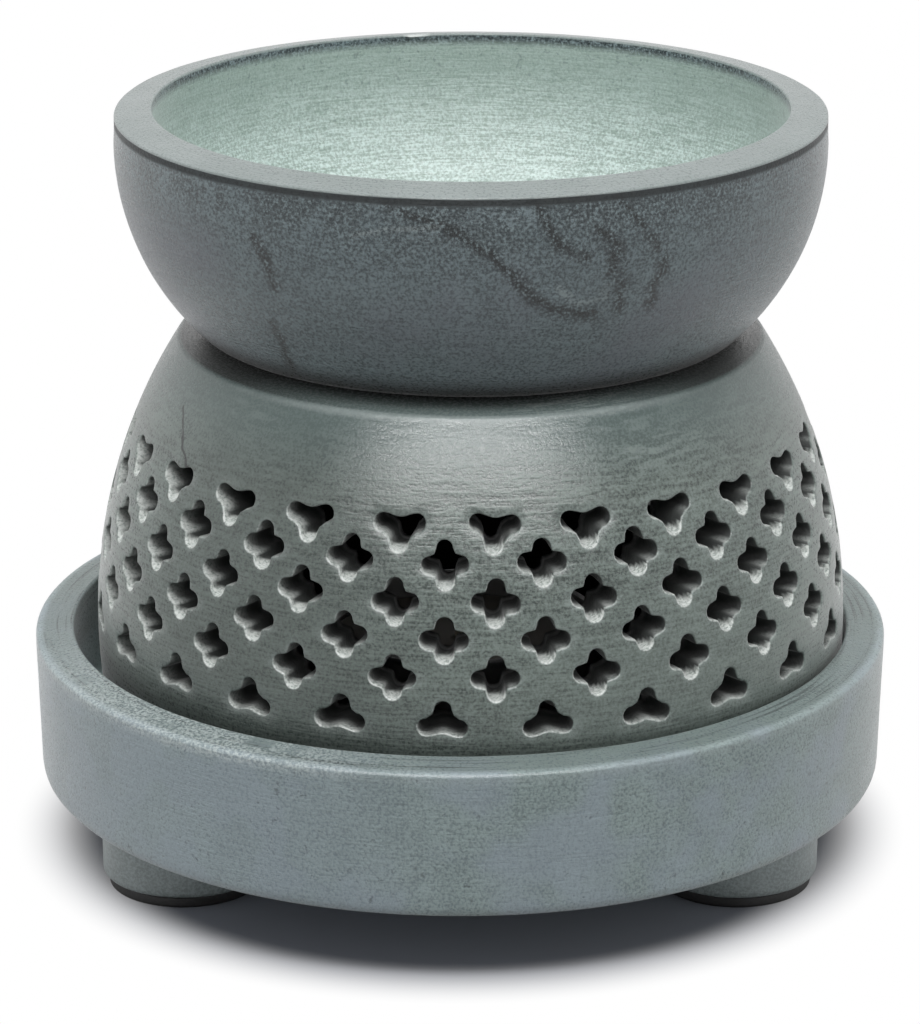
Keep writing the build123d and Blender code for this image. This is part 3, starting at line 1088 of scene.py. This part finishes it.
    def tin(self, tones):
        finish = new_finish("sustainer_metal")
        rolled = finish.noise(finish.place(), 900.0, 3.0)
        shown = finish.mix(rolled, scaled(tones.steel, 0.8), tones.steel)
        gloss = 0.3 + (rolled - 0.5) * 0.2
        material = finish.surface(shown, gloss, rolled, strength=0.1, constants=METAL)
        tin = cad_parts["wick_sustainer"]
        tin.data.materials.clear()
        tin.data.materials.append(material)


class LightStage(bpy.types.Operator):
    """Lays the white floor, hangs the soft lamps and sets the camera where the photograph was taken"""

    bl_idname = "burner.light_stage"
    bl_label = "Studio"

    eye: location("Camera", "Where the camera stands", (0.0, -0.5875, 0.2444))
    aim: location("Aim", "What the camera looks at", (0.0, 0.0, 0.046383))
    lens: FloatProperty(
        name="Lens", description="Focal length", default=154.69, min=1.0,
        unit="CAMERA", subtype="DISTANCE_CAMERA",
    )
    overhead: power("Overhead lamp", "Power of the overhead lamp", 5.8)
    front: power("Front lamp", "Power of the front lamp", 4.4)
    strip: power("Strip lamp", "Power of the strip that shows in the gloss", 8.0)
    tent: share("Tent", "How bright the white cloth round the burner is", 0.55)
    bounce: share("Bounce", "How much light the floor throws back up", 0.32)
    shadow: length("Shadow", "Distance from the middle within which the floor keeps the shadow", 0.0504)
    clear: length("Clear floor", "Distance from the middle at which the floor is plain white", 0.0642)

    def execute(self, context):
        scene = context.scene
        scene.view_settings.view_transform = "Standard"
        self.floor(scene.burner_colours)
        self.surround(scene)
        self.lamp("lamp_overhead", (0.0, 0.05, 1.2), (0.0, 0.0, 0.05), (0.9, 0.9), self.overhead)
        self.lamp("lamp_front", (0.0, -0.48, 0.90), (0.0, 0.0, 0.06), (0.6, 0.2), self.front)
        strip = self.lamp("lamp_strip", (0.0, -0.64, 0.56), (0.0, 0.0, 0.06), (0.95, 0.1), self.strip)
        strip.visible_diffuse = False
        data = bpy.data.cameras.new("camera")
        data.lens = self.lens
        data.sensor_width = 36.0
        scene.camera = self.aimed("camera", data, self.eye, self.aim)
        return {"FINISHED"}

    def aimed(self, name, data, place, aim):
        """A lamp or camera at a place, turned towards its aim."""
        thing = bpy.data.objects.new(name, data)
        thing.location = place
        thing.rotation_euler = (Vector(aim) - Vector(place)).to_track_quat("-Z", "Y").to_euler()
        bpy.context.collection.objects.link(thing)
        return thing

    def lamp(self, name, place, aim, size, strength):
        data = bpy.data.lights.new(name, "AREA")
        data.shape = "RECTANGLE"
        data.size, data.size_y = size
        data.energy = strength
        return self.aimed(name, data, place, aim)

    def floor(self, tones):
        """A matt floor that keeps the burner's shadow and is plain white further out. Near the burner the
        camera sees it in the dark bluish floor colour, a painted shadow that deepens the rendered one.
        """
        reach = 4.0
        shell = Shell((0.0, 0.0))
        shell.turn([(radius, 0.0, "floor") for radius in (0.0, 0.15, 0.6, reach)], reach, SMALL_ROUND)
        mesh = bpy.data.meshes.new("floor")
        mesh.from_pydata(shell.points, [], shell.faces)
        floor = bpy.data.objects.new("floor", mesh)
        bpy.context.collection.objects.link(floor)
        finish = new_finish("studio_floor")
        x, y, _ = finish.axes(finish.place())
        far = finish.ramp((x * x + y * y) ** 0.5, self.shadow, self.clear)
        camera, glossy, through = self.rays(finish)
        seen = finish.least(camera + glossy + through, 1.0)
        cloths = [
            finish.node("ShaderNodeBsdfDiffuse", None, {"Color": opaque(cloth), "Roughness": 0.5})
            for cloth in ((self.bounce,) * 3, tones.floor)
        ]
        matt = finish.node("ShaderNodeMixShader", None, {0: camera, 1: cloths[0], 2: cloths[1]})
        white = finish.node("ShaderNodeEmission", None, {"Color": WHITE, "Strength": 1.0})
        shader = finish.node("ShaderNodeMixShader", None, {0: far * seen, 1: matt, 2: white})
        finish.node("ShaderNodeOutputMaterial", None, {"Surface": shader})
        mesh.materials.append(finish.owner)

    def rays(self, finish):
        """Whether a ray comes from the camera, off a glossy surface or through a clear one."""
        kinds = ("Is Camera Ray", "Is Glossy Ray", "Is Transmission Ray")
        return [finish.node("ShaderNodeLightPath", None, None, kind) for kind in kinds]

    def surround(self, scene):
        """A tent of white cloth, open where the camera stands and plain white to the camera."""
        world = bpy.data.worlds.new("surround")
        scene.world = world
        finish = Finish(world)
        way = finish.node("ShaderNodeTexCoord", None, None, "Generated")
        across, back, up = finish.axes(way)
        cloth = finish.ramp(back, -0.95, -0.35) * 0.45 + 0.55
        cloth = cloth * (1.0 - finish.ramp(up, 0.1, 0.75) * 0.6)
        camera, glossy, through = self.rays(finish)
        shown = finish.least(glossy + through, 1.0)
        sides = finish.ramp(abs(across), 0.6, 0.95) * 0.8 + 1.0
        level = cloth * (self.tent * sides + (1.0 - self.tent) * shown)
        level = finish.math("MAXIMUM", level, camera)
        white = finish.node("ShaderNodeBackground", None, {"Color": WHITE, "Strength": level})
        finish.node("ShaderNodeOutputWorld", None, {"Surface": white})


class BurnerPanel(bpy.types.Panel):
    """The burner's sizes, colours and pieces"""

    bl_idname = "VIEW3D_PT_burner"
    bl_label = "Oil burner"
    bl_space_type = "VIEW_3D"
    bl_region_type = "UI"
    bl_category = "Burner"

    def draw(self, context):
        for group in (context.scene.burner_sizes, context.scene.burner_colours):
            column = self.layout.column(align=True)
            for name in group.bl_rna.properties.keys():
                if name not in ("rna_type", "name"):
                    column.prop(group, name)
        for maker in MAKERS:
            self.layout.operator(maker.bl_idname)


MAKERS = (TurnBowl, PierceBody, TurnTray, StandFeet, SetTealight, LightStage)
CLASSES = (BurnerSizes, BurnerColours, *MAKERS, BurnerPanel)


def register():
    for each in CLASSES:
        bpy.utils.register_class(each)
    bpy.types.Scene.burner_sizes = PointerProperty(type=BurnerSizes)
    bpy.types.Scene.burner_colours = PointerProperty(type=BurnerColours)


def unregister():
    del bpy.types.Scene.burner_colours
    del bpy.types.Scene.burner_sizes
    for each in reversed(CLASSES):
        bpy.utils.unregister_class(each)


def main():
    register()
    bpy.ops.burner.turn_bowl()
    bpy.ops.burner.pierce_body()
    bpy.ops.burner.turn_tray()
    bpy.ops.burner.stand_feet()
    bpy.ops.burner.set_tealight()
    bpy.ops.burner.light_stage()


if __name__ == "__main__":
    main()
